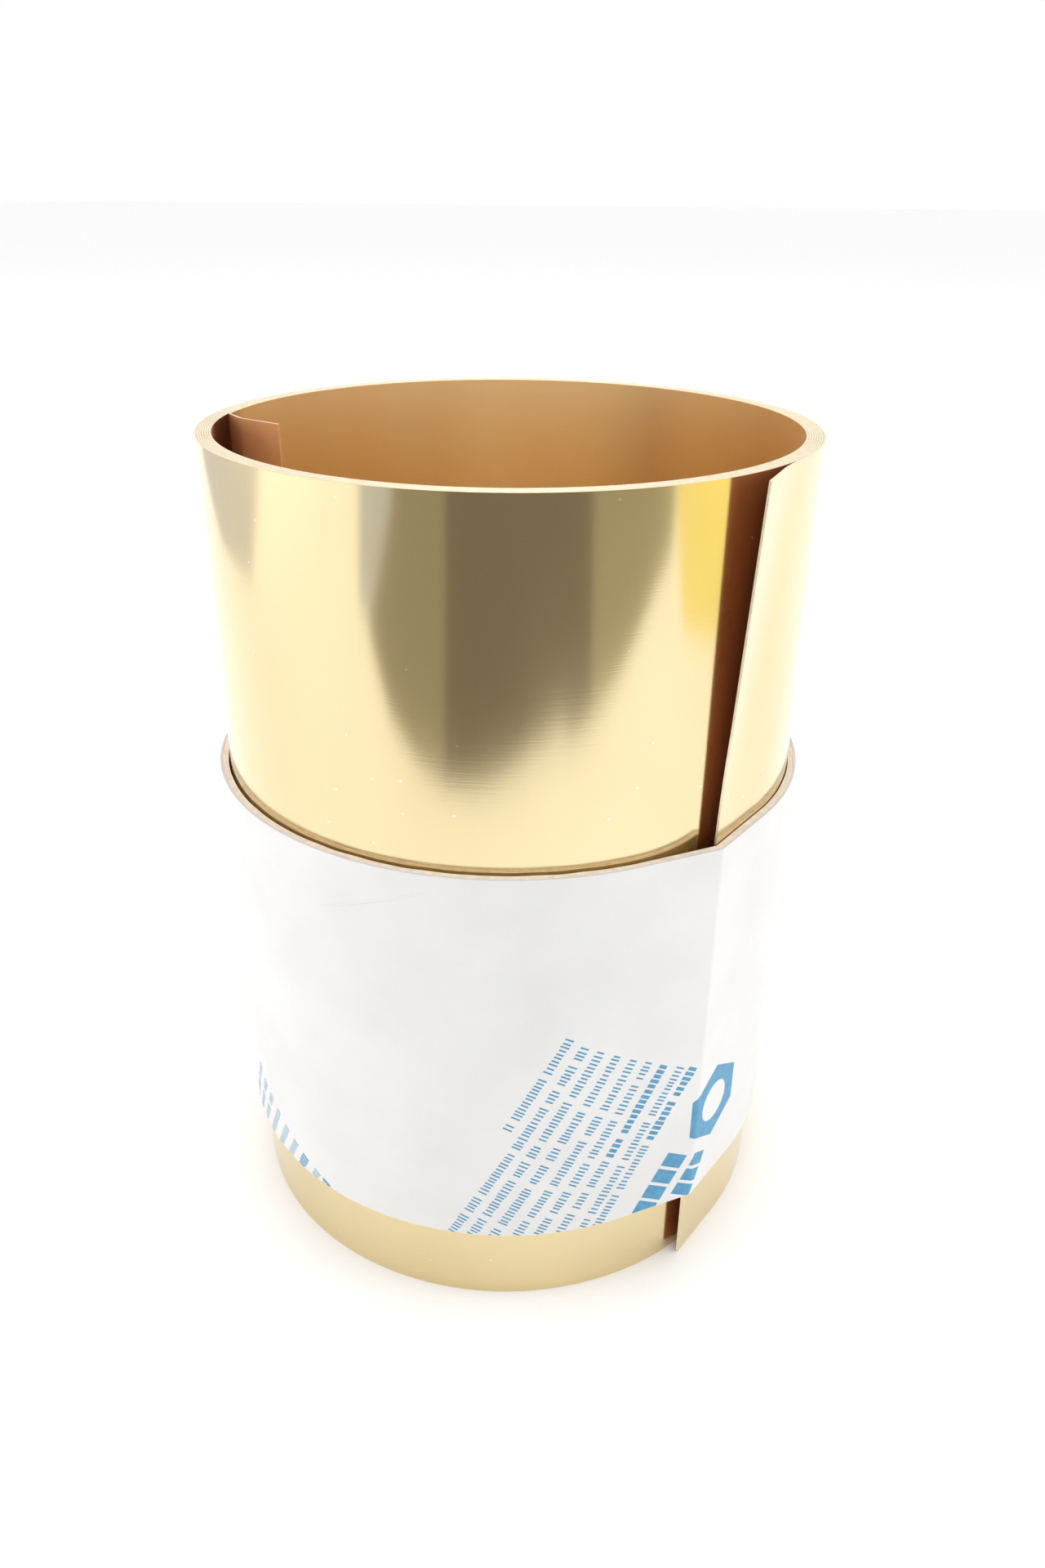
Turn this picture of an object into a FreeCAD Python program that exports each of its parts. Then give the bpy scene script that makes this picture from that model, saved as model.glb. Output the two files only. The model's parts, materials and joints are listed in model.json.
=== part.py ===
import FreeCAD, Part
import math
import os

# A flat roll of brass shim: one long strip, 6 in wide, wound on edge into an open coil and held by a
# printed band. The coil's axis is +Z, the origin is on that axis at the coil's bottom edge, and angles
# are measured about +Z from +X. Going outwards, the strip winds clockwise as seen from above.

# ---- Driving dimensions: millimetres and degrees ----

STRIP_WIDTH = 152.4            # 6 in, the roll's height
STRIP_THICKNESS = 0.381        # 0.015 in
TURN_PITCH = 0.400             # from one turn to the next: the turns lie almost tight
INNER_RADIUS = 50.2            # inner face of the innermost turn at its end
INNER_END_ANGLE = 172.9        # where the innermost turn ends in its bend
HALF_TURNS = 15                # whole half turns wound before the last, partial one
TAIL_START_ANGLE = -37.4       # where the outer end leaves the coil in a straight line
TAIL_LENGTH = 14.1             # straight outer end, from the coil to the free edge

TAB_BEND = 40.0                # inner end, bent into the hollow from the coil's tangent
TAB_FIRST_LEG = 4.4            # straight run next to the bend
TAB_CURL = 20.5                # further turn, along a gentle curve
TAB_CURL_RADIUS = 5.0
TAB_LAST_LEG = 8.6             # straight run to the free end

BAND_LOW = 17.0                # bottom edge of the band, above the coil's
BAND_WIDTH = 76.2              # 3 in
BAND_CLEARANCE = 0.15          # between the outermost turn and the band
BACKING_THICKNESS = 1.10       # the plain inner turns of the band
PRINTED_THICKNESS = 0.40       # the white printed turns over them
PRINTED_PLY = 0.13             # one ply of the printed tape, the step at its free end
LAP_START_ANGLE = 118.0        # the printed tape's last ply runs on past its own start
LAP_END_ANGLE = 152.0

CORNER_LOW = BAND_LOW + BAND_WIDTH + 0.7   # lowest point of the free outer corner
CORNER_TOP_LENGTH = 12.4       # its top edge, a little short of the tail: the end is cut off square
CORNER_FLARE = 9.1             # how far the corner stands out from the tail's plane
FOLD_GAP = 0.30                # from each fold's axis to the strip it turns on
BEAD_SHORT = 0.10              # the slanting fold's bead stops this far short of both its ends

# ---- Worked out from them ----

ORIGIN = FreeCAD.Vector(0, 0, 0)
UP = FreeCAD.Vector(0, 0, 1)
MIDDLE = STRIP_THICKNESS / 2


def direction(angle):
    """The horizontal unit vector at an angle about the axis."""
    return FreeCAD.Vector(math.cos(math.radians(angle)), math.sin(math.radians(angle)), 0)


def arc(centre, radius, start, end):
    """A circular edge from one angle to another."""
    points = [centre + direction(a) * radius for a in (start, (start + end) / 2, end)]
    return Part.Arc(*points).toShape()


def line(start, end):
    return Part.LineSegment(start, end).toShape()


def prism(edges, height, low=0.0):
    """The closed outline's edges, raised straight up by height from the level low."""
    wire = Part.Wire(Part.__sortEdges__(edges))
    solid = Part.Face(wire).extrude(UP * height)
    solid.translate(UP * low)
    return solid


def turn_centre(half_turn):
    """Half turns are drawn about two centres in turn, which makes a smooth spiral."""
    side = 1 if half_turn % 2 else -1
    return direction(INNER_END_ANGLE) * (side * TURN_PITCH / 4)


def turn_radius(half_turn, depth):
    """Radius of one half turn at a depth into the strip, from its inner face."""
    return INNER_RADIUS + depth + half_turn * TURN_PITCH / 2


def spiral(depth):
    """The wound strip at one depth, from its inner end to where the tail leaves, as arcs."""
    edges = []
    for half_turn in range(HALF_TURNS + 1):
        start = INNER_END_ANGLE - 180 * half_turn
        end = start - 180
        if half_turn == 0:
            start -= math.degrees(FOLD_GAP / INNER_RADIUS)
        if half_turn == HALF_TURNS:
            end = TAIL_START_ANGLE - 180 * (HALF_TURNS - 1)
        edges.append(arc(turn_centre(half_turn), turn_radius(half_turn, depth), start, end))
    return edges


# ---- The brass strip: its coil, with the held part of its tail ----

OUTWARD = direction(TAIL_START_ANGLE)
ALONG_TAIL = direction(TAIL_START_ANGLE - 90)
TAIL_ROOT = turn_centre(HALF_TURNS) + OUTWARD * turn_radius(HALF_TURNS, 0)

TAIL_MIDDLE = TAIL_ROOT + OUTWARD * MIDDLE
FOLD_TOP = TAIL_MIDDLE + ALONG_TAIL * FOLD_GAP + UP * STRIP_WIDTH
FOLD_FOOT = TAIL_MIDDLE + ALONG_TAIL * TAIL_LENGTH + UP * CORNER_LOW
FOLD_LENGTH = (FOLD_TOP - FOLD_FOOT).Length
FOLD_LINE = (FOLD_TOP - FOLD_FOOT).normalize()
# A gap square to the slanting fold measures this much straight down.
GAP_DOWN = FOLD_GAP * FOLD_LENGTH / (TAIL_LENGTH - FOLD_GAP)


def tail_plate(corners):
    """A plate of the strip in the tail's plane, from (distance from the root, height) corners."""
    points = [TAIL_ROOT + ALONG_TAIL * along + UP * height for along, height in corners]
    outline = Part.makePolygon(points + points[:1])
    return Part.Face(outline).extrude(OUTWARD * STRIP_THICKNESS)


def foil_coil():
    inner, outer = spiral(0), spiral(STRIP_THICKNESS)
    ends = [
        line(inner[0].Vertexes[0].Point, outer[0].Vertexes[0].Point),
        line(inner[-1].Vertexes[-1].Point, outer[-1].Vertexes[-1].Point),
    ]
    turns = prism(inner + outer + ends, STRIP_WIDTH)
    held_tail = tail_plate([
        (0, 0),
        (TAIL_LENGTH, 0),
        (TAIL_LENGTH, CORNER_LOW - GAP_DOWN),
        (0, STRIP_WIDTH),
    ])
    return turns.fuse(held_tail).removeSplitter()


def foil_outer_corner():
    """The tail's top corner, free above the band, standing out about the slanting fold."""
    plate = tail_plate([
        (FOLD_GAP, STRIP_WIDTH),
        (CORNER_TOP_LENGTH, STRIP_WIDTH),
        (TAIL_LENGTH, CORNER_LOW),
    ])
    bead_start = FOLD_FOOT + FOLD_LINE * BEAD_SHORT
    bead = Part.makeCylinder(MIDDLE, FOLD_LENGTH - 2 * BEAD_SHORT, bead_start, FOLD_LINE)
    plate.rotate(FOLD_FOOT, FOLD_LINE, CORNER_FLARE)
    return plate.fuse(bead).removeSplitter()


# ---- The strip's inner end, bent into the hollow ----

BEND = turn_centre(0) + direction(INNER_END_ANGLE) * turn_radius(0, MIDDLE)
FIRST_HEADING = INNER_END_ANGLE + 90 + TAB_BEND
LAST_HEADING = FIRST_HEADING + TAB_CURL
CURL_START = BEND + direction(FIRST_HEADING) * TAB_FIRST_LEG
CURL_CENTRE = CURL_START + direction(FIRST_HEADING + 90) * TAB_CURL_RADIUS


def tab_side(radius):
    """One face of the tab: two straight legs and the curve between them, at a radius of the curl."""
    curl = arc(CURL_CENTRE, radius, FIRST_HEADING - 90, LAST_HEADING - 90)
    curl_start, curl_end = curl.Vertexes[0].Point, curl.Vertexes[-1].Point
    root = curl_start - direction(FIRST_HEADING) * TAB_FIRST_LEG
    tip = curl_end + direction(LAST_HEADING) * TAB_LAST_LEG
    return [line(root, curl_start), curl, line(curl_end, tip)]


def foil_inner_tab():
    """The tab, with a round bead on the fold's axis."""
    near, far = tab_side(TAB_CURL_RADIUS - MIDDLE), tab_side(TAB_CURL_RADIUS + MIDDLE)
    ends = [
        line(near[0].Vertexes[0].Point, far[0].Vertexes[0].Point),
        line(near[-1].Vertexes[-1].Point, far[-1].Vertexes[-1].Point),
    ]
    bead = Part.makeCylinder(MIDDLE, STRIP_WIDTH, BEND, UP)
    return prism(near + far + ends, STRIP_WIDTH).fuse(bead).removeSplitter()


# ---- The band: a loop pulled tight round the coil and over the edge of the tail ----

TAIL_EDGE = TAIL_MIDDLE + ALONG_TAIL * TAIL_LENGTH
TAIL_EDGE_ANGLE = math.degrees(math.atan2(TAIL_EDGE.y, TAIL_EDGE.x))
TAIL_FACE = TAIL_ROOT.dot(OUTWARD) + STRIP_THICKNESS
ROUND_COIL = TAIL_FACE + BAND_CLEARANCE
ROUND_EDGE = MIDDLE + BAND_CLEARANCE
BRIDGE_ANGLE = math.degrees(math.acos((ROUND_COIL - ROUND_EDGE) / TAIL_EDGE.Length))


def loop(out):
    """The band's outline at a distance out from its inner face: two arcs and the bridges between."""
    before, after = TAIL_EDGE_ANGLE - BRIDGE_ANGLE, TAIL_EDGE_ANGLE + BRIDGE_ANGLE
    round_coil = arc(ORIGIN, ROUND_COIL + out, after, before + 360)
    round_edge = arc(TAIL_EDGE, ROUND_EDGE + out, before, after)
    bridges = [
        line(round_coil.Vertexes[-1].Point, round_edge.Vertexes[0].Point),
        line(round_edge.Vertexes[-1].Point, round_coil.Vertexes[0].Point),
    ]
    return [round_coil, bridges[0], round_edge, bridges[1]]


def ring(inside, outside):
    """A closed wall of the band between two distances from its inner face."""
    outer = prism(loop(outside), BAND_WIDTH, BAND_LOW)
    return outer.cut(prism(loop(inside), BAND_WIDTH, BAND_LOW))


def band_backing_turns():
    return ring(0, BACKING_THICKNESS)


def band_printed_turns():
    """The printed tape, with its free end lapped one ply proud at the back."""
    outside = BACKING_THICKNESS + PRINTED_THICKNESS
    low, high = ROUND_COIL + outside, ROUND_COIL + outside + PRINTED_PLY
    start, end = direction(LAP_START_ANGLE), direction(LAP_END_ANGLE)
    lap = prism([
        arc(ORIGIN, low, LAP_START_ANGLE, LAP_END_ANGLE),
        line(end * low, end * high),
        arc(ORIGIN, high, LAP_END_ANGLE, LAP_START_ANGLE),
        line(start * high, start * low),
    ], BAND_WIDTH, BAND_LOW)
    return ring(BACKING_THICKNESS, outside).fuse(lap).removeSplitter()


# ---- Write one file per piece ----

os.makedirs("parts", exist_ok=True)
for make in (foil_coil, foil_inner_tab, foil_outer_corner, band_backing_turns, band_printed_turns):
    shape = make()
    shape.exportStep(f"parts/{make.__name__}.step")
    print(make.__name__, shape.isValid(), len(shape.Solids), round(shape.Volume, 1), shape.BoundBox)

print("inner tab hinge", BEND, "corner hinge", FOLD_FOOT, FOLD_LINE)
print("band loop radius", ROUND_COIL, "tail edge", TAIL_EDGE)
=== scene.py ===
import json
import math
import random

import bmesh
import bpy
from mathutils import Matrix, Vector


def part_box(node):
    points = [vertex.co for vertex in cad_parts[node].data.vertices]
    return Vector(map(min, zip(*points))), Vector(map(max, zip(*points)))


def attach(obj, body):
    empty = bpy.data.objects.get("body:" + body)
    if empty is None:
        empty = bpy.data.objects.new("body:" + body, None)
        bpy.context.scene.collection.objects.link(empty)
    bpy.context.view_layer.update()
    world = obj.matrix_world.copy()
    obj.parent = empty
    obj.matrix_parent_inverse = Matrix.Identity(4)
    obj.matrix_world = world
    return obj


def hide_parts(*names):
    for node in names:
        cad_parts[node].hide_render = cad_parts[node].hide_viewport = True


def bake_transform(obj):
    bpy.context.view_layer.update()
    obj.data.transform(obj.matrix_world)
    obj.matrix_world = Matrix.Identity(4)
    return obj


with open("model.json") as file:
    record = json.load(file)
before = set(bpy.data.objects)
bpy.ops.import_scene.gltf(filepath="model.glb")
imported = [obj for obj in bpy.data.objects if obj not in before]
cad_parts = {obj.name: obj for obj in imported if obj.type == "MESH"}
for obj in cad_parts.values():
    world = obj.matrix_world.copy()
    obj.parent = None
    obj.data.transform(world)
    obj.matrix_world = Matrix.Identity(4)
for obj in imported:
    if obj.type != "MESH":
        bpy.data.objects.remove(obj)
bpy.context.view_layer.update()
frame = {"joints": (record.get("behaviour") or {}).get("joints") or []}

# ---- Camera ----
# A hand-held view from above the front, close enough to look down into the coil.

CAMERA_BACK = 0.2108
CAMERA_HEIGHT = 0.1887
CAMERA_PITCH = math.radians(26.84)
CAMERA_YAW = math.radians(0.745)
CAMERA_ROLL = math.radians(0.57)
LENS_MM = 27.08
SENSOR_MM = 36.0
NEAREST_SEEN = 0.01

camera_data = bpy.data.cameras.new("camera")
camera_data.lens = LENS_MM
camera_data.sensor_width = SENSOR_MM
camera_data.clip_start = NEAREST_SEEN
camera = bpy.data.objects.new("camera", camera_data)
bpy.context.scene.collection.objects.link(camera)
bpy.context.scene.camera = camera
camera.matrix_world = (
    Matrix.Translation((0, -CAMERA_BACK, CAMERA_HEIGHT))
    @ Matrix.Rotation(-CAMERA_YAW, 4, "Z")
    @ Matrix.Rotation(math.pi / 2 - CAMERA_PITCH, 4, "X")
    @ Matrix.Rotation(CAMERA_ROLL, 4, "Z")
)
bpy.context.scene.view_settings.view_transform = "Standard"

# ---- Floor ----
# A white paper sweep, so bright that it fades into the background.


def node_tree(material):
    """The material's nodes and links, with a fresh Principled shader."""
    material.use_nodes = True
    tree = material.node_tree
    return tree, tree.nodes["Principled BSDF"]


def add_piece(name, bm, materials, smooth_angle=40):
    """Turns a finished bmesh into an object of the scene, smooth except at sharp edges."""
    mesh = bpy.data.meshes.new(name)
    bmesh.ops.recalc_face_normals(bm, faces=bm.faces)
    for face in bm.faces:
        face.smooth = True
    bm.to_mesh(mesh)
    bm.free()
    mesh.set_sharp_from_angle(angle=math.radians(smooth_angle))
    for material in materials:
        mesh.materials.append(material)
    piece = bpy.data.objects.new(name, mesh)
    bpy.context.scene.collection.objects.link(piece)
    return piece


FLOOR_SIZE = 30.0
FLOOR_WHITE = (0.965, 0.965, 0.97, 1)
floor_paper = bpy.data.materials.new("floor_paper")
_, shader = node_tree(floor_paper)
shader.inputs["Base Color"].default_value = FLOOR_WHITE
shader.inputs["Roughness"].default_value = 0.9
shader.inputs["Specular IOR Level"].default_value = 0.1

bm = bmesh.new()
bmesh.ops.create_grid(bm, x_segments=1, y_segments=1, size=FLOOR_SIZE / 2)
floor = add_piece("floor", bm, [floor_paper])

# ---- Light ----
# A bright white room: an even sky, two large soft lights at the sides and one overhead. The brass
# mirrors the one overhead, but not the two at the sides.

SKY_STRENGTH = 1.0
LIGHT_SIZE = 1.0
OBJECT_MIDDLE = (0, 0, 0.08)

world = bpy.data.worlds.new("world")
bpy.context.scene.world = world
world.use_nodes = True
world.node_tree.nodes["Background"].inputs["Color"].default_value = (1, 1, 1, 1)
world.node_tree.nodes["Background"].inputs["Strength"].default_value = SKY_STRENGTH


def soft_light(name, place, watts, mirrored):
    """A square light that faces the middle of the object."""
    data = bpy.data.lights.new(name, "AREA")
    data.shape = "SQUARE"
    data.size = LIGHT_SIZE
    data.energy = watts
    light = bpy.data.objects.new(name, data)
    light.location = place
    light.rotation_euler = (Vector(OBJECT_MIDDLE) - Vector(place)).to_track_quat("-Z", "Y").to_euler()
    light.visible_glossy = mirrored
    bpy.context.scene.collection.objects.link(light)


soft_light("light_left", (-1.5, 0.0, 0.40), watts=9, mirrored=False)
soft_light("light_right", (1.5, 0.0, 0.40), watts=8, mirrored=False)
soft_light("light_top", (0, 0.2, 1.8), watts=9, mirrored=True)

# ---- Cards for the brass to mirror ----
# Matt cards of several greys and a yellow one, laid round the roll for the bright brass to reflect. They
# show in reflections only. The grey ones in front have a crooked near edge and meet side by side.

CARD_HEIGHT = 0.001
MIRROR_BOUNCES = 16


def card_paper(name, colour):
    """Plain matt card of one colour."""
    material = bpy.data.materials.new(name)
    _, shader = node_tree(material)
    shader.inputs["Base Color"].default_value = colour
    shader.inputs["Roughness"].default_value = 1.0
    shader.inputs["Specular IOR Level"].default_value = 0.0
    return material


def reflected_card(name, colour, outline):
    """A flat card just above the floor that only shows in reflections."""
    bm = bmesh.new()
    bm.faces.new([bm.verts.new((x, y, CARD_HEIGHT)) for x, y in outline])
    card = add_piece(name, bm, [card_paper(name, colour)])
    card.visible_camera = False
    card.visible_diffuse = False
    card.visible_shadow = False


reflected_card("card_front_left", (0.28, 0.262, 0.208, 1), [
    (-0.32, -0.285), (-0.21, -0.245), (-0.15, -0.242), (-0.10, -0.247), (-0.607, -1.6),
    (-1.3, -1.6), (-0.44, -0.55),
])
reflected_card("card_front", (0.17, 0.146, 0.122, 1), [
    (-0.10, -0.247), (-0.05, -0.261), (0.04, -0.294), (0.094, -0.304), (0.113, -0.289),
    (0.153, -0.287), (0.825, -1.6), (-0.607, -1.6),
])
reflected_card("card_front_right", (0.34, 0.315, 0.24, 1), [
    (0.153, -0.287), (0.227, -0.293), (0.376, -0.313), (0.461, -0.313), (0.60, -0.385),
    (1.6, -1.3), (1.5, -1.6), (0.825, -1.6),
])
reflected_card("card_left", (0.57, 0.58, 0.63, 1), [
    (-0.47, 0.10), (-0.45, 0.30), (-0.53, 0.60), (-1.1, 0.70), (-1.1, 0.0),
])
reflected_card("card_side", (0.51, 0.54, 0.62, 1), [
    (-0.325, -0.29), (-0.36, -0.287), (-0.55, -0.456), (-1.6, -1.35), (-1.3, -1.6), (-0.44, -0.55),
])
reflected_card("card_yellow", (0.885, 0.78, 0.305, 1), [
    (0.37, -0.20), (0.61, -0.385), (1.4, -0.95), (1.6, -0.15), (0.70, -0.06), (0.40, -0.02),
])
bpy.context.scene.cycles.glossy_bounces = MIRROR_BOUNCES
bpy.context.scene.cycles.max_bounces = MIRROR_BOUNCES

# ---- The brass strip's turns ----
# One long strip of bright rolled brass, wound on edge by hand into an open coil. The turns lie
# against each other, and their slit edges make the rim.

STRIP_THICKNESS = 0.000381
TURN_PITCH = 0.000400
WHOLE_HALF_TURNS = 15
STRIP_EDGE_ROUND = 0.00005
TURN_STEPS = 150
EDGE_ROUND_STEPS = 2
FLAT_ENOUGH = 0.5
SPECKS_PER_METRE = 210
SPECK_WHITE = (0.95, 0.90, 0.78, 1)
# Painted shade: brown on the inside face round an upright line near where the inner end leaves the wall,
# for the dark wedge there.
WEDGE_SHADE_ANGLE = math.radians(179)
WEDGE_SHADE_WHOLE, WEDGE_SHADE_GONE = 0.005, 0.009
WEDGE_SHADE_BROWN = (0.28, 0.13, 0.10, 1)
DENT_DEPTH, DENT_STRENGTH = 0.0006, 0.22
WAVE_DEPTH, WAVE_STRENGTH = 0.002, 0.10
GRAIN_DEPTH, GRAIN_STRENGTH = 0.00002, 0.10
UP = Vector((0, 0, 1))

joints = {joint["name"]: joint for joint in frame["joints"]}
coil_low, coil_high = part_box("foil_coil")
strip_bottom, strip_top = coil_low.z, coil_high.z
strip_width = strip_top - strip_bottom

bend = Vector(joints["inner_tab_bend"]["pos_m"]) * Vector((1, 1, 0))
bend_angle = math.atan2(bend.y, bend.x)
toward_bend = bend.normalized()
first_radius = bend.length + TURN_PITCH / 4


def around(angle):
    """The level direction at an angle round the coil's axis."""
    return Vector((math.cos(angle), math.sin(angle), 0))


def half_turn_centre(half_turn):
    """Odd and even half turns have centres a quarter pitch either side of the axis."""
    side = 1 if half_turn % 2 else -1
    return toward_bend * (side * TURN_PITCH / 4)


def half_turn_radius(half_turn):
    """To the middle of the strip. It grows by half a pitch at each half turn."""
    return first_radius + half_turn * TURN_PITCH / 2


def rolled_brass(name, tones, roughness, metallic=1.0, bands=False, wedge_shade=None):
    """Brass between two tones and two roughnesses, with rolling grain, soft dents and specks of dust.

    bands draws the tones out into upright bands, and the last argument is the foot of an upright band of
    brown painted shade."""
    material = bpy.data.materials.new(name)
    tree, shader = node_tree(material)
    nodes, links = tree.nodes, tree.links
    coordinates = nodes.new("ShaderNodeTexCoord")

    def noise(scale, detail, stretch):
        """Noise of so many features per metre, squeezed along each axis by stretch."""
        mapping = nodes.new("ShaderNodeMapping")
        mapping.inputs["Scale"].default_value = stretch
        texture = nodes.new("ShaderNodeTexNoise")
        texture.inputs["Scale"].default_value = scale
        texture.inputs["Detail"].default_value = detail
        links.new(coordinates.outputs["Object"], mapping.inputs["Vector"])
        links.new(mapping.outputs["Vector"], texture.inputs["Vector"])
        return texture.outputs["Fac"]

    def ramp(value, stops):
        node = nodes.new("ShaderNodeValToRGB")
        while len(node.color_ramp.elements) < len(stops):
            node.color_ramp.elements.new(0.5)
        for element, (place, colour) in zip(node.color_ramp.elements, stops):
            element.position = place
            element.color = colour
        links.new(value, node.inputs["Fac"])
        return node.outputs["Color"]

    def bump(height, distance, strength, below=None):
        node = nodes.new("ShaderNodeBump")
        node.inputs["Distance"].default_value = distance
        node.inputs["Strength"].default_value = strength
        links.new(height, node.inputs["Height"])
        if below is not None:
            links.new(below, node.inputs["Normal"])
        return node.outputs["Normal"]

    tone = ramp(noise(40, 1, (1, 1, 0.03)) if bands else noise(22, 3, (1, 1, 0.5)), [
        (0.35, tones[0]), (0.65, tones[1]),
    ])
    specks = nodes.new("ShaderNodeTexVoronoi")
    specks.inputs["Scale"].default_value = SPECKS_PER_METRE
    links.new(coordinates.outputs["Object"], specks.inputs["Vector"])
    dust = ramp(specks.outputs["Distance"], [(0.035, (1, 1, 1, 1)), (0.045, (0, 0, 0, 1))])
    dusty = nodes.new("ShaderNodeMix")
    dusty.data_type = "RGBA"
    links.new(dust, dusty.inputs["Factor"])
    links.new(tone, dusty.inputs[6])
    dusty.inputs[7].default_value = SPECK_WHITE
    colour = dusty.outputs[2]
    # Painted shade: brown mixed into the base colour round the given foot, fading out between two
    # distances from it.
    if wedge_shade is not None:
        away = nodes.new("ShaderNodeVectorMath")
        away.operation = "SUBTRACT"
        away.inputs[1].default_value = wedge_shade
        flat = nodes.new("ShaderNodeVectorMath")
        flat.operation = "MULTIPLY"
        flat.inputs[1].default_value = (1, 1, 0)
        distance = nodes.new("ShaderNodeVectorMath")
        distance.operation = "LENGTH"
        links.new(coordinates.outputs["Object"], away.inputs[0])
        links.new(away.outputs["Vector"], flat.inputs[0])
        links.new(flat.outputs["Vector"], distance.inputs[0])
        painted_shade_mask = ramp(distance.outputs["Value"], [
            (WEDGE_SHADE_WHOLE, (1, 1, 1, 1)), (WEDGE_SHADE_GONE, (0, 0, 0, 1)),
        ])
        shaded = nodes.new("ShaderNodeMix")
        shaded.data_type = "RGBA"
        links.new(painted_shade_mask, shaded.inputs["Factor"])
        links.new(colour, shaded.inputs[6])
        shaded.inputs[7].default_value = WEDGE_SHADE_BROWN
        colour = shaded.outputs[2]
    links.new(colour, shader.inputs["Base Color"])
    shader.inputs["Metallic"].default_value = metallic
    sheen = ramp(noise(45, 4, (1, 1, 0.25)), [
        (0.30, [roughness[0]] * 3 + [1]), (0.75, [roughness[1]] * 3 + [1]),
    ])
    links.new(sheen, shader.inputs["Roughness"])
    dents = bump(noise(38, 1, (1, 1, 0.06)), DENT_DEPTH, DENT_STRENGTH)
    waves = bump(noise(14, 0, (1, 1, 0.5)), WAVE_DEPTH, WAVE_STRENGTH, dents)
    grain = bump(noise(60, 2, (1, 1, 60)), GRAIN_DEPTH, GRAIN_STRENGTH, waves)
    links.new(grain, shader.inputs["Normal"])
    return material


def cut_edge_brass():
    """The sheared edge of the strip, paler and duller than its faces."""
    material = bpy.data.materials.new("cut_edge_brass")
    tree, shader = node_tree(material)
    coordinates = tree.nodes.new("ShaderNodeTexCoord")
    texture = tree.nodes.new("ShaderNodeTexNoise")
    texture.inputs["Scale"].default_value = 900
    ramp = tree.nodes.new("ShaderNodeValToRGB")
    ramp.color_ramp.elements[0].position = 0.3
    ramp.color_ramp.elements[0].color = (0.86, 0.74, 0.50, 1)
    ramp.color_ramp.elements[1].position = 0.7
    ramp.color_ramp.elements[1].color = (0.97, 0.88, 0.66, 1)
    tree.links.new(coordinates.outputs["Object"], texture.inputs["Vector"])
    tree.links.new(texture.outputs["Fac"], ramp.inputs["Fac"])
    tree.links.new(ramp.outputs["Color"], shader.inputs["Base Color"])
    shader.inputs["Metallic"].default_value = 1.0
    shader.inputs["Roughness"].default_value = 0.38
    return material


brass = rolled_brass("rolled_brass", [(0.745, 0.615, 0.36, 1), (0.80, 0.67, 0.405, 1)], (0.10, 0.17))
# Painted light: the inside face is a rougher, paler and brighter copy of the outer brass, and its
# brighter base colour lifts the hollow. It also carries the brown painted wedge shade.
brass_inside_lit_and_shaded = rolled_brass(
    "rolled_brass_inside_lit_and_shaded", [(0.98, 0.77, 0.44, 1), (1.0, 0.85, 0.54, 1)], (0.34, 0.39), bands=True,
    wedge_shade=around(WEDGE_SHADE_ANGLE) * first_radius)
# Painted shade: the outer end's inner face is a darker, redder, half-metal brass. It stands in for the
# dark brown shade and reflections in the gap between its free corner and the coil.
brass_gap_shade = rolled_brass(
    "rolled_brass_painted_gap_shade", [(0.58, 0.26, 0.17, 1), (0.67, 0.33, 0.22, 1)], (0.24, 0.30),
    metallic=0.5)
brass_end = rolled_brass(
    "rolled_brass_end", [(0.83, 0.40, 0.16, 1), (0.89, 0.48, 0.22, 1)], (0.40, 0.46),
    metallic=0.45)
brass_edge = cut_edge_brass()


def strip_section(bm, centre, radius, angle):
    """The strip's cross-section, with its edges eased, as a closed loop of edges."""
    outward = around(angle)
    middle = centre + outward * radius
    corners = [
        bm.verts.new(middle + outward * (side * STRIP_THICKNESS / 2) + UP * z)
        for side, z in ((-1, strip_bottom), (1, strip_bottom), (1, strip_top), (-1, strip_top))
    ]
    bm.faces.new(corners)
    bmesh.ops.bevel(bm, geom=corners, offset=STRIP_EDGE_ROUND, segments=EDGE_ROUND_STEPS,
                    affect="VERTICES", profile=0.5, material=-1)
    loop = list(bm.edges)
    bmesh.ops.delete(bm, geom=bm.faces, context="FACES_ONLY")
    return loop


def mark_cut_edges(bm):
    """Gives the second material to the strip's sheared edges, and the third to its inner face."""
    for face in bm.faces:
        middle = face.calc_center_median()
        if abs(face.normal.z) > FLAT_ENOUGH:
            face.material_index = 1
        elif face.normal.x * middle.x + face.normal.y * middle.y < 0:
            face.material_index = 2


def only_edges(items):
    """The edges among what an operator returns."""
    return [item for item in items if isinstance(item, bmesh.types.BMEdge)]


bm = bmesh.new()
loop = strip_section(bm, half_turn_centre(0), half_turn_radius(0), bend_angle)
ends = [list(loop)]
for half_turn in range(WHOLE_HALF_TURNS):
    wound = bmesh.ops.spin(
        bm, geom=loop, cent=half_turn_centre(half_turn), axis=-UP, angle=math.pi,
        steps=TURN_STEPS, use_merge=False,
    )
    loop = only_edges(wound["geom_last"])
ends.append(loop)
for end in ends:
    bmesh.ops.edgeloop_fill(bm, edges=end)
bm.normal_update()
mark_cut_edges(bm)
coil_turns = add_piece("coil_turns", bm, [brass, brass_edge, brass_inside_lit_and_shaded], smooth_angle=20)
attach(coil_turns, "coil")
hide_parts("foil_coil")

# ---- The strip's outer end ----
# The last stretch of the strip. Below, the band holds it down as a short straight tail. Above the
# band its corner is free, and springs away from the coil.

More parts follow.
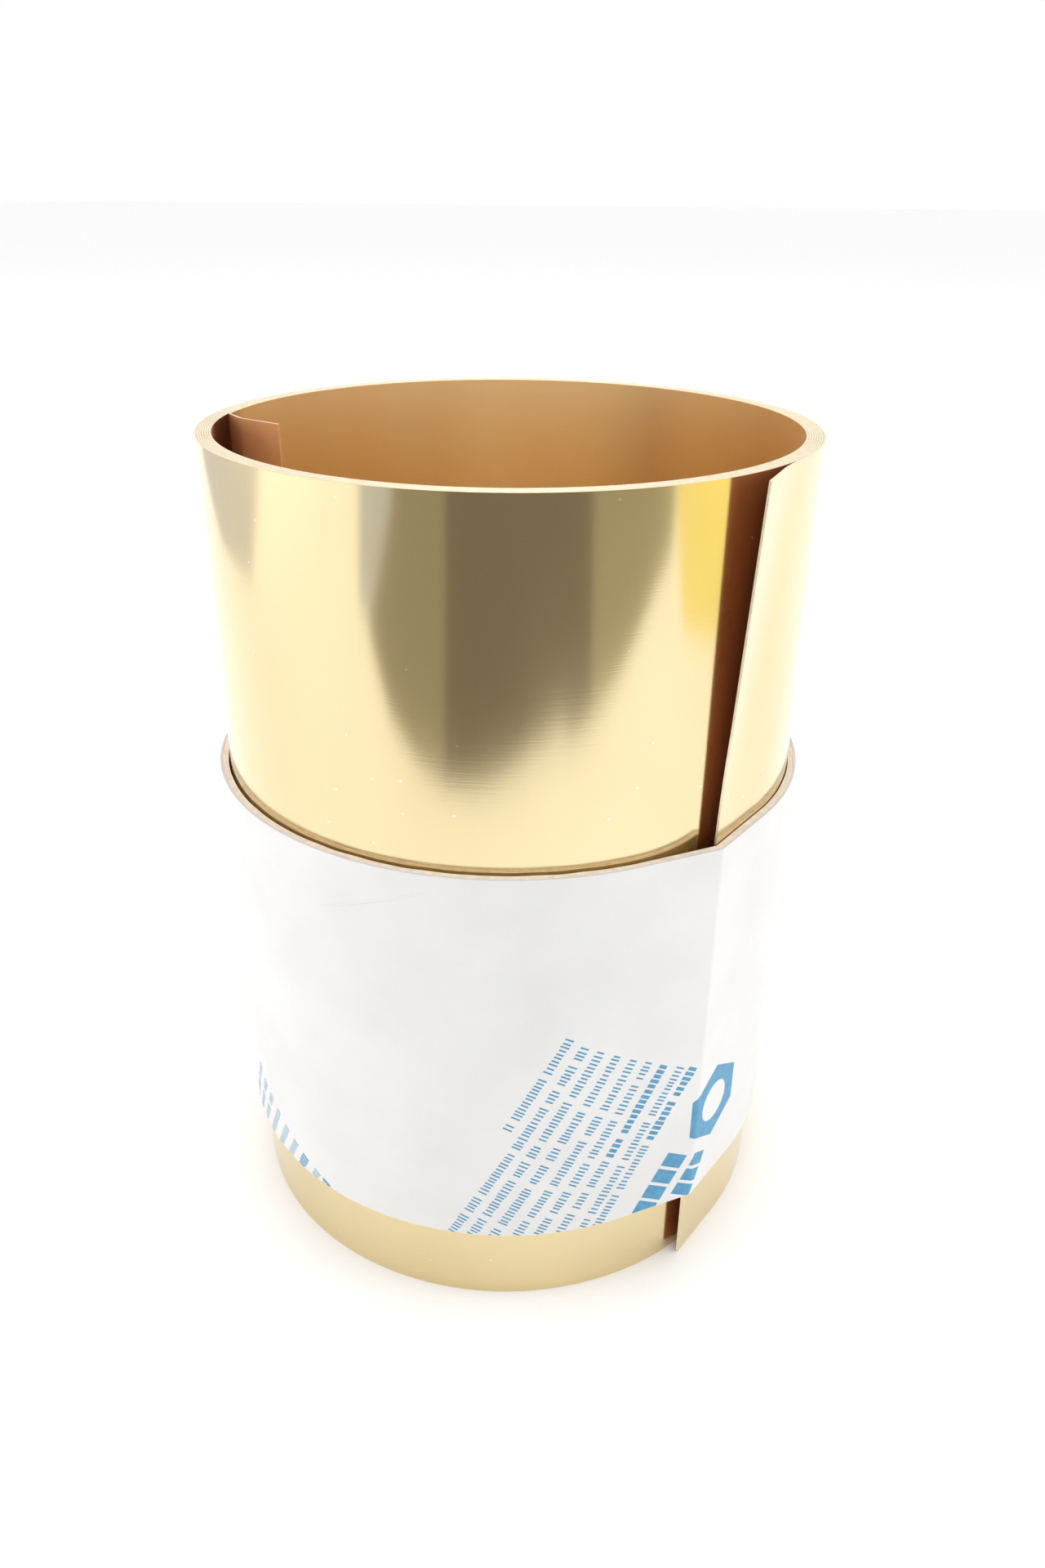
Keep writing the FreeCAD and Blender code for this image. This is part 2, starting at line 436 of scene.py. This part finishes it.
tail_foot = Vector(joints["outer_corner_bend"]["pos_m"])
tail_edge = tail_foot * Vector((1, 1, 0))
last_centre = half_turn_centre(WHOLE_HALF_TURNS)
last_radius = half_turn_radius(WHOLE_HALF_TURNS)
from_centre = tail_edge - last_centre
tail_length = math.sqrt(from_centre.length_squared - last_radius ** 2)
tail_angle = math.atan2(from_centre.y, from_centre.x) + math.atan2(tail_length, last_radius)
tail_out = around(tail_angle)
tail_along = around(tail_angle - math.pi / 2)
tail_root = last_centre + tail_out * last_radius
seam_angle = bend_angle - math.pi * WHOLE_HALF_TURNS
seam_angle -= 2 * math.pi * round((seam_angle - tail_angle) / (2 * math.pi))
TAIL_TURN_STEPS = 40
TAIL_STEPS = 24
TAIL_LEVELS = 90
CORNER_FLARE = math.radians(11.5)
CORNER_TOP_CUT = 0.0017
CORNER_SOFT = 0.0045
CORNER_DROP = 0.025
CORNER_RISE_HEIGHT = 0.020
END_FACING = 0.8

fold_axis = Vector(joints["outer_corner_bend"]["axis"]).normalized()
across_fold = tail_out.cross(fold_axis).normalized()
if across_fold.dot(tail_along) < 0:
    across_fold = -across_fold


def spring_out(bm):
    """Bends the free corner outwards along a soft fold, and trims its end a little off square."""
    for vert in bm.verts:
        along = (vert.co - tail_root).dot(tail_along)
        above = (vert.co.z - tail_foot.z) / (strip_top - tail_foot.z)
        if along > 0 and above > 0:
            vert.co -= tail_along * (CORNER_TOP_CUT * above * along / tail_length)
        beyond = (vert.co - tail_foot).dot(across_fold)
        climb = min(max((vert.co.z - tail_foot.z) / CORNER_RISE_HEIGHT, 0), 1)
        bent = beyond
        if abs(beyond) < CORNER_SOFT:
            bent = (beyond + CORNER_SOFT) ** 2 / (4 * CORNER_SOFT)
        if beyond > -CORNER_SOFT:
            vert.co += tail_out * (math.tan(CORNER_FLARE) * bent * climb ** 0.5)
            vert.co.z -= CORNER_DROP * max(bent, 0) * climb


def draw_column(bm, column, direction, distance, steps):
    """Draws a column of edges out in a straight line."""
    for _ in range(steps):
        extruded = bmesh.ops.extrude_edge_only(bm, edges=column)["geom"]
        moved = [item for item in extruded if isinstance(item, bmesh.types.BMVert)]
        bmesh.ops.translate(bm, verts=moved, vec=direction * (distance / steps))
        column = only_edges(extruded)
    return column


def thicken(bm):
    """Gives a sheet the strip's thickness, half to each side."""
    for vert in bm.verts:
        vert.co += vert.normal * (STRIP_THICKNESS / 2)
    bmesh.ops.solidify(bm, geom=list(bm.faces), thickness=STRIP_THICKNESS)


bm = bmesh.new()
seam_point = last_centre + around(seam_angle) * last_radius
bottom = bm.verts.new(seam_point + UP * strip_bottom)
top = bm.verts.new(seam_point + UP * strip_top)
column = [bm.edges.new((bottom, top))]
bmesh.ops.subdivide_edges(bm, edges=column, cuts=TAIL_LEVELS)
wound = bmesh.ops.spin(
    bm, geom=list(bm.verts) + list(bm.edges), cent=last_centre, axis=-UP,
    angle=seam_angle - tail_angle, steps=TAIL_TURN_STEPS, use_merge=False,
)
draw_column(bm, only_edges(wound["geom_last"]), tail_along, tail_length, TAIL_STEPS)
spring_out(bm)
bmesh.ops.recalc_face_normals(bm, faces=bm.faces)
if sum(face.normal.dot(tail_out) for face in bm.faces) < 0:
    bmesh.ops.reverse_faces(bm, faces=bm.faces)
thicken(bm)
bm.normal_update()
mark_cut_edges(bm)
end_face_area = STRIP_THICKNESS * strip_width / TAIL_LEVELS
for face in bm.faces:
    if abs(face.normal.dot(tail_along)) > END_FACING and face.calc_area() < 2 * end_face_area:
        face.material_index = 1
# Its inner face takes the painted gap shade.
tail = add_piece("coil_outer_end", bm, [brass, brass_edge, brass_gap_shade])
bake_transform(tail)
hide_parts("foil_outer_corner")

# ---- The strip's inner end ----
# The first few millimetres of the strip are creased and curled into the hollow, to give fingers a
# hold when the strip is drawn out.

TAB_BEND = math.radians(40.0)
TAB_FIRST_LEG = 0.0044
TAB_CURL = math.radians(20.5)
TAB_CURL_RADIUS = 0.005
TAB_LAST_LEG = 0.0086
TAB_STEPS = 10
CREASE_SEGMENTS = 24
heading = bend_angle + math.pi / 2 + TAB_BEND

bm = bmesh.new()
bottom = bm.verts.new(bend + UP * strip_bottom)
top = bm.verts.new(bend + UP * strip_top)
column = draw_column(bm, [bm.edges.new((bottom, top))], around(heading), TAB_FIRST_LEG, TAB_STEPS)
curl_centre = bend + around(heading) * TAB_FIRST_LEG + around(heading + math.pi / 2) * TAB_CURL_RADIUS
column_verts = list({vert for edge in column for vert in edge.verts})
wound = bmesh.ops.spin(
    bm, geom=column_verts + column, cent=curl_centre, axis=UP, angle=TAB_CURL,
    steps=TAB_STEPS, use_merge=False,
)
draw_column(bm, only_edges(wound["geom_last"]), around(heading + TAB_CURL), TAB_LAST_LEG, TAB_STEPS)
bmesh.ops.recalc_face_normals(bm, faces=bm.faces)
bm.normal_update()
thicken(bm)
bmesh.ops.create_cone(
    bm, cap_ends=True, segments=CREASE_SEGMENTS, radius1=STRIP_THICKNESS / 2, radius2=STRIP_THICKNESS / 2,
    depth=strip_width, matrix=Matrix.Translation(bend + UP * (strip_bottom + strip_width / 2)),
)
bm.normal_update()
mark_cut_edges(bm)
tab = add_piece("coil_inner_end", bm, [brass_end, brass_edge, brass_inside_lit_and_shaded])
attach(tab, "inner_tab")
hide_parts("foil_inner_tab")

# ---- The band's backing turns ----
# Plain beige paper tape wound several times round the coil and over the edge of the tail, pulled tight so
# that it bridges on both sides of that edge. Its plies show along the top and bottom. Their pink-beige
# tone is partly painted warm light, bounced onto them from the brass.

BACKING_PLIES = 5
band_low, band_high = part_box("band_backing_turns")
printed_low, printed_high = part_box("band_printed_turns")
BAND_CLEARANCE = 0.00015
BACKING_THICKNESS = 0.0011
PRINTED_THICKNESS = 0.0004
PLY_GAP = 0.00002
BACKING_FRAY = 0.00022
FRAY_WAVES = 6
FRAY_FIRST_WAVE = 9
FIBRES_PER_METRE = 1800
FIBRE_DEPTH = 0.00005
LOOP_STEPS = 300
EDGE_STEPS = 10

round_coil = last_centre.dot(tail_out) + last_radius + STRIP_THICKNESS / 2 + BAND_CLEARANCE
round_edge = STRIP_THICKNESS / 2 + BAND_CLEARANCE
edge_angle = math.atan2(tail_edge.y, tail_edge.x)
bridge_angle = math.acos((round_coil - round_edge) / tail_edge.length)
band_start = edge_angle + bridge_angle
band_end = edge_angle - bridge_angle + 2 * math.pi


def wall_section(bm, centre, angle, inside, outside, low, high):
    """A ply's cross-section: its four corners, and the loop of edges that joins them."""
    out = around(angle)
    corners = [
        bm.verts.new(centre + out * radius + UP * z)
        for radius, z in ((inside, low), (outside, low), (outside, high), (inside, high))
    ]
    return corners, [bm.edges.new((corners[i], corners[(i + 1) % 4])) for i in range(4)]


def add_ply(bm, inside, outside, low, high):
    """One closed turn of tape between two distances out from the band's inner face."""
    verts, first = wall_section(
        bm, Vector(), band_start, round_coil + inside, round_coil + outside, low, high)
    turned = bmesh.ops.spin(bm, geom=verts + first, cent=(0, 0, 0), axis=UP,
                            angle=band_end - band_start, steps=LOOP_STEPS, use_merge=False)
    last = only_edges(turned["geom_last"])
    verts, near = wall_section(
        bm, tail_edge, band_end, round_edge + inside, round_edge + outside, low, high)
    turned = bmesh.ops.spin(bm, geom=verts + near, cent=tail_edge, axis=UP,
                            angle=2 * bridge_angle, steps=EDGE_STEPS, use_merge=False)
    far = only_edges(turned["geom_last"])
    bmesh.ops.bridge_loops(bm, edges=last + near)
    bmesh.ops.bridge_loops(bm, edges=far + first)


def fray(bm, low, high, depth, seed):
    """Lets the tape's top and bottom edges wander inwards by up to depth."""
    generator = random.Random(seed)
    phases = [generator.uniform(0, 2 * math.pi) for _ in range(FRAY_WAVES)]
    for vert in bm.verts:
        angle = math.atan2(vert.co.y, vert.co.x)
        wander = sum(
            math.sin(angle * FRAY_FIRST_WAVE * (i + 1) + phase) for i, phase in enumerate(phases))
        inward = depth * (0.5 + wander / (2 * FRAY_WAVES))
        if abs(vert.co.z - high) < 1e-6:
            vert.co.z -= inward
        elif abs(vert.co.z - low) < 1e-6:
            vert.co.z += inward


def add_mesh(bm, part):
    """Adds a finished part to bm, and frees it."""
    mesh = bpy.data.meshes.new("part")
    part.to_mesh(mesh)
    part.free()
    bm.from_mesh(mesh)
    bpy.data.meshes.remove(mesh)


def wind_plies(count, start, thickness, gap, depth_of_fray, first_seed):
    """So many turns of tape on each other, which share a thickness outwards from start."""
    bm = bmesh.new()
    for number in range(count):
        ply = bmesh.new()
        inside = start + thickness * number / count
        outside = start + thickness * (number + 1) / count - gap
        add_ply(ply, inside, outside, band_low.z, band_high.z)
        fray(ply, band_low.z, band_high.z, depth_of_fray, first_seed + number)
        add_mesh(bm, ply)
    return bm


def paper(name, light, dark, mottle_scale, roughness, bump_strength):
    """Paper with a mottled tone and fine fibres."""
    material = bpy.data.materials.new(name)
    tree, shader = node_tree(material)
    coordinates = tree.nodes.new("ShaderNodeTexCoord")
    mottle = tree.nodes.new("ShaderNodeTexNoise")
    mottle.inputs["Scale"].default_value = mottle_scale
    mottle.inputs["Detail"].default_value = 6
    ramp = tree.nodes.new("ShaderNodeValToRGB")
    ramp.color_ramp.elements[0].position = 0.35
    ramp.color_ramp.elements[0].color = dark
    ramp.color_ramp.elements[1].position = 0.65
    ramp.color_ramp.elements[1].color = light
    fibres = tree.nodes.new("ShaderNodeTexNoise")
    fibres.inputs["Scale"].default_value = FIBRES_PER_METRE
    fibres.inputs["Detail"].default_value = 3
    bump = tree.nodes.new("ShaderNodeBump")
    bump.inputs["Distance"].default_value = FIBRE_DEPTH
    bump.inputs["Strength"].default_value = bump_strength
    for texture in (mottle, fibres):
        tree.links.new(coordinates.outputs["Object"], texture.inputs["Vector"])
    tree.links.new(mottle.outputs["Fac"], ramp.inputs["Fac"])
    tree.links.new(ramp.outputs["Color"], shader.inputs["Base Color"])
    tree.links.new(fibres.outputs["Fac"], bump.inputs["Height"])
    tree.links.new(bump.outputs["Normal"], shader.inputs["Normal"])
    shader.inputs["Roughness"].default_value = roughness
    shader.inputs["Specular IOR Level"].default_value = 0.35
    return material


# Partly painted light: the pink-beige tone stands in for warm light bounced from the brass onto the
# plies.
backing_paper = paper(
    "backing_paper", (0.95, 0.85, 0.74, 1), (0.86, 0.73, 0.60, 1), mottle_scale=900, roughness=0.8,
    bump_strength=0.5)
bm = wind_plies(BACKING_PLIES, 0, BACKING_THICKNESS, PLY_GAP, BACKING_FRAY, first_seed=0)
backing = add_piece("band_backing", bm, [backing_paper])
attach(backing, "band")
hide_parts("band_backing_turns")

# ---- The band's printed turns ----
# White paper tape over the backing, its last ply lapped on itself and stuck down at the back.

PRINTED_PLIES = 3
PRINTED_FRAY = 0.00010
LAP_START, LAP_END = math.radians(118), math.radians(152)
LAP_THICKNESS = 0.00013
LAP_STEPS = 40

# Painted shade: the white tape's base colour is a light grey, darker than the paper, for the shade on the
# band's face.
printed_paper = paper(
    "printed_paper", (0.71, 0.705, 0.69, 1), (0.67, 0.665, 0.65, 1), mottle_scale=60, roughness=0.5,
    bump_strength=0.25)
bm = wind_plies(PRINTED_PLIES, BACKING_THICKNESS, PRINTED_THICKNESS, 0, PRINTED_FRAY, first_seed=20)
band_out = round_coil + BACKING_THICKNESS + PRINTED_THICKNESS
verts, first = wall_section(
    bm, Vector(), LAP_START, band_out, band_out + LAP_THICKNESS, band_low.z, band_high.z)
turned = bmesh.ops.spin(bm, geom=verts + first, cent=(0, 0, 0), axis=UP,
                        angle=LAP_END - LAP_START, steps=LAP_STEPS, use_merge=False)
bmesh.ops.edgeloop_fill(bm, edges=first)
bmesh.ops.edgeloop_fill(bm, edges=only_edges(turned["geom_last"]))
printed = add_piece("band_printed", bm, [printed_paper])
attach(printed, "band")
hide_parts("band_printed_turns")

# ---- The crease in the printed paper ----
# A faint ridge across the band's face, where the paper wrinkled as it was pulled round. It is shaped
# flat, in the paper's own plane, and then wrapped on.

CREASE_FROM, CREASE_TO = Vector((0.0412, 0.0814)), Vector((0.0644, 0.09025))
CREASE_WIDTH = 0.00042
CREASE_HEIGHT = 0.00016
CREASE_SUNK = 0.00003
CREASE_END_TAPER = 0.02
CREASE_TAPER_POWER = 0.6

unrolled_zero = math.radians(-170)
near_side = edge_angle - bridge_angle
far_side = edge_angle + bridge_angle
over_edge = round_edge + BACKING_THICKNESS + PRINTED_THICKNESS
tangent_angle = math.atan2(over_edge * math.sin(bridge_angle),
                           tail_edge.length + over_edge * math.cos(bridge_angle))


def band_surface(along, height, lift):
    """The point on the band's face at a distance round it from the back left, and lifted off it."""
    angle = unrolled_zero + along / band_out
    angle = (angle + math.pi) % (2 * math.pi) - math.pi
    reach = band_out
    if near_side < angle < far_side:
        reach = min(band_out / math.cos(angle - near_side), band_out / math.cos(angle - far_side))
        aside = tail_edge.length * math.sin(angle - edge_angle)
        if abs(angle - edge_angle) < tangent_angle:
            reach = tail_edge.length * math.cos(angle - edge_angle)
            reach += math.sqrt(over_edge ** 2 - aside ** 2)
    return around(angle) * (reach + lift) + UP * height


crease_along = (CREASE_TO - CREASE_FROM).normalized()
crease_across = Vector((-crease_along.y, crease_along.x))
crease_length = (CREASE_TO - CREASE_FROM).length
bm = bmesh.new()
bmesh.ops.create_grid(bm, x_segments=40, y_segments=4, size=0.5)
for vert in bm.verts:
    taper = CREASE_END_TAPER
    if abs(vert.co.x) < 0.4999:
        taper = math.sin(math.pi * (vert.co.x + 0.5)) ** CREASE_TAPER_POWER
    vert.co.z = CREASE_HEIGHT * taper * (1 - (2 * vert.co.y) ** 2)
    vert.co.y *= CREASE_WIDTH * taper
    vert.co.x = (vert.co.x + 0.5) * crease_length
for face in bm.faces:
    if face.normal.z < 0:
        face.normal_flip()
bmesh.ops.solidify(bm, geom=list(bm.faces), thickness=CREASE_SUNK)
for vert in bm.verts:
    place = CREASE_FROM + crease_along * vert.co.x + crease_across * vert.co.y
    vert.co = band_surface(place.x, place.y, vert.co.z - CREASE_SUNK / 2)
crease = add_piece("band_crease", bm, [printed_paper], smooth_angle=60)
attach(crease, "band")

# ---- The printing ----
# Blue ink on the white tape: a slanting block of lines, with a large plain hexagon and two rows of
# bold blocks, over and over round the band. A word is a row of small bars, so there is nothing to read.

INK_LIFT = 0.000012
INK_THICKNESS = 0.000025
INK_SLICE = 0.0015
EDGE_MARGIN = 0.0001
MARK_RADIUS = 0.0084
MARK_HOLE = 0.0042
EDGE_CUTS = 5
reading = Vector((-0.486, -0.874)).normalized()
upright = Vector((-reading.y, reading.x))
LINE_STARTS = [
    (0.1116, 0.0486), (0.1090, 0.0495), (0.1056, 0.0511), (0.1025, 0.05275), (0.0994, 0.05425),
    (0.0962, 0.0561), (0.0931, 0.05775), (0.0902, 0.05925), (0.0875, 0.0615),
]
LINE_LENGTH = 0.052
LAST_LINE_LENGTH = 0.0218
BOLD_STARTS = {0: 0.016, 2: 0.020}
AFTER_BOLD = 0.0016
BOLD_TYPE = {"height": 0.0021, "stroke": 0.00075, "gap": 0.00032, "word_gap": 0.0010}
PLAIN_TYPE = {"height": 0.0019, "stroke": 0.00034, "gap": 0.00042, "word_gap": 0.0011}
BLOCK_ROWS = [
    ((0.1156, 0.0261), (0.1125, 0.0165), 0.0042, 3), ((0.1100, 0.0286), (0.1050, 0.0145), 0.0045, 4),
]
BLOCK_GAP = 0.0007
MARK_CENTRE = (0.1194, 0.0359)
REPEAT = Vector((0.072, 0.0306))
PRINTS = (-1, 0, 1, 2)
BACK_SHIFT = Vector((0.017, 0))
PRINT_FROM, PRINT_TO = -0.036, 0.276
ink_random = random.Random(7)


def ink_bar(bm, start, length, height):
    """A flat bar of ink in the unrolled plane."""
    corners = [
        start + reading * a + upright * b
        for a, b in ((0, -height / 2), (length, -height / 2), (length, height / 2), (0, height / 2))
    ]
    bm.faces.new([bm.verts.new((corner.x, corner.y, 0)) for corner in corners])


def ink_line(bm, start, length, height, stroke, gap, word_gap):
    """A line of words, each a run of upright strokes."""
    done = 0.0
    while done < length:
        for _ in range(ink_random.randint(4, 14)):
            tall = height * ink_random.uniform(0.72, 1.0)
            ink_bar(bm, start + reading * done, stroke, tall)
            done += stroke + gap * ink_random.uniform(0.8, 1.4)
            if done > length:
                break
        done += word_gap


bm = bmesh.new()
for copy in PRINTS:
    shift = REPEAT * copy + (BACK_SHIFT if copy > 0 else Vector((0, 0)))
    for number, place in enumerate(LINE_STARTS):
        start = Vector(place) + shift
        length = LAST_LINE_LENGTH if number == len(LINE_STARTS) - 1 else LINE_LENGTH
        bold = 0.0
        if number in BOLD_STARTS:
            ink_line(bm, start, BOLD_STARTS[number], **BOLD_TYPE)
            bold = BOLD_STARTS[number] + AFTER_BOLD
        ink_line(bm, start + reading * bold, length - bold, **PLAIN_TYPE)
    for start, end, height, blocks in BLOCK_ROWS:
        start, end = Vector(start) + shift, Vector(end) + shift
        length = (end - start).length
        for block in range(blocks):
            place = start + reading * (length * block / blocks)
            ink_bar(bm, place, length / blocks - BLOCK_GAP, height)
    mark = bmesh.new()
    bmesh.ops.create_circle(mark, cap_ends=False, segments=6, radius=MARK_RADIUS)
    bmesh.ops.create_circle(mark, cap_ends=False, segments=24, radius=MARK_HOLE)
    bmesh.ops.bridge_loops(mark, edges=list(mark.edges))
    centre = Vector(MARK_CENTRE) + shift
    bmesh.ops.translate(mark, verts=mark.verts, vec=(centre.x, centre.y, 0))
    add_mesh(bm, mark)


def cut(bm, place, direction, clear):
    """Cuts the flat print along a line, and with clear takes away what lies beyond it."""
    bmesh.ops.bisect_plane(
        bm, geom=list(bm.verts) + list(bm.edges) + list(bm.faces), plane_co=place,
        plane_no=direction, clear_outer=clear)


cut(bm, (0, printed_low.z + EDGE_MARGIN, 0), (0, -1, 0), True)
cut(bm, (0, printed_high.z - EDGE_MARGIN * 2, 0), (0, 1, 0), True)
cut(bm, (PRINT_FROM, 0, 0), (-1, 0, 0), True)
cut(bm, (PRINT_TO, 0, 0), (1, 0, 0), True)
for slice_number in range(int((PRINT_TO - PRINT_FROM) / INK_SLICE)):
    cut(bm, (PRINT_FROM + INK_SLICE * slice_number, 0, 0), (1, 0, 0), False)
for step in range(-EDGE_CUTS, EDGE_CUTS + 1):
    over_edge_angle = edge_angle + tangent_angle * step / EDGE_CUTS
    cut(bm, ((over_edge_angle - unrolled_zero) * band_out, 0, 0), (1, 0, 0), False)
bm.normal_update()
for face in bm.faces:
    if face.normal.z < 0:
        face.normal_flip()
bmesh.ops.solidify(bm, geom=list(bm.faces), thickness=INK_THICKNESS)
lowest = min(vert.co.z for vert in bm.verts)
for vert in bm.verts:
    lift = vert.co.z - lowest + INK_LIFT - INK_THICKNESS
    vert.co = band_surface(vert.co.x, vert.co.y, lift)
ink = paper(
    "print_ink", (0.09, 0.30, 0.47, 1), (0.06, 0.24, 0.42, 1), mottle_scale=700, roughness=0.45,
    bump_strength=0.15)
printing = add_piece("band_printing", bm, [ink])
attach(printing, "band")
